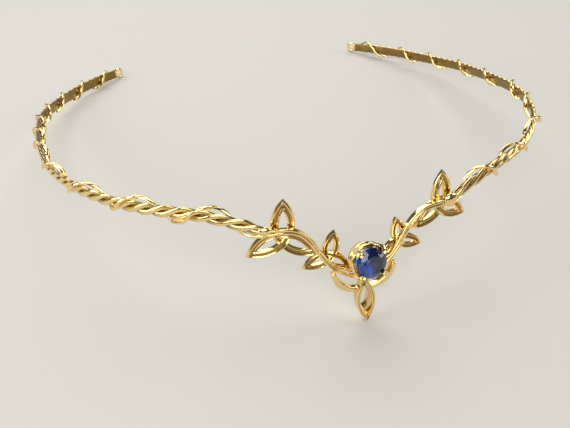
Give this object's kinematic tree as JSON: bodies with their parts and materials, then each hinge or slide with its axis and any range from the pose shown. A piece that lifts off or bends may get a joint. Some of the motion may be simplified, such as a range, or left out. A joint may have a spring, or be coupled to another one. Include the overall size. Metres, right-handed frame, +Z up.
{
  "type": "circlet tiara",
  "caption": "Open circlet tiara of braided gold-coloured metal wound with flat wire, with trinity knots and a round blue stone over a leaf drop. It is worn round the brow.",
  "frame": {"origin": "on the surface that the tiara rests on, under the middle of its box, between the brow and the end rings", "axes": "+Z up from the surface; -Y towards the stone at the front; +X towards the band that lies on the viewer's right; the end rings are at +Y"},
  "size_m": [0.1677, 0.1644, 0.0354],
  "materials": {
    "gold": "polished",
    "blue_stone": "cut and polished"
  },
  "bodies": {
    "root": {"left_band": "gold", "right_band": "gold", "left_wrap_wire": "gold", "right_wrap_wire": "gold", "left_knotwork": "gold", "right_knotwork": "gold", "setting": "gold", "stone": "blue_stone"}
  },
  "joints": []
}
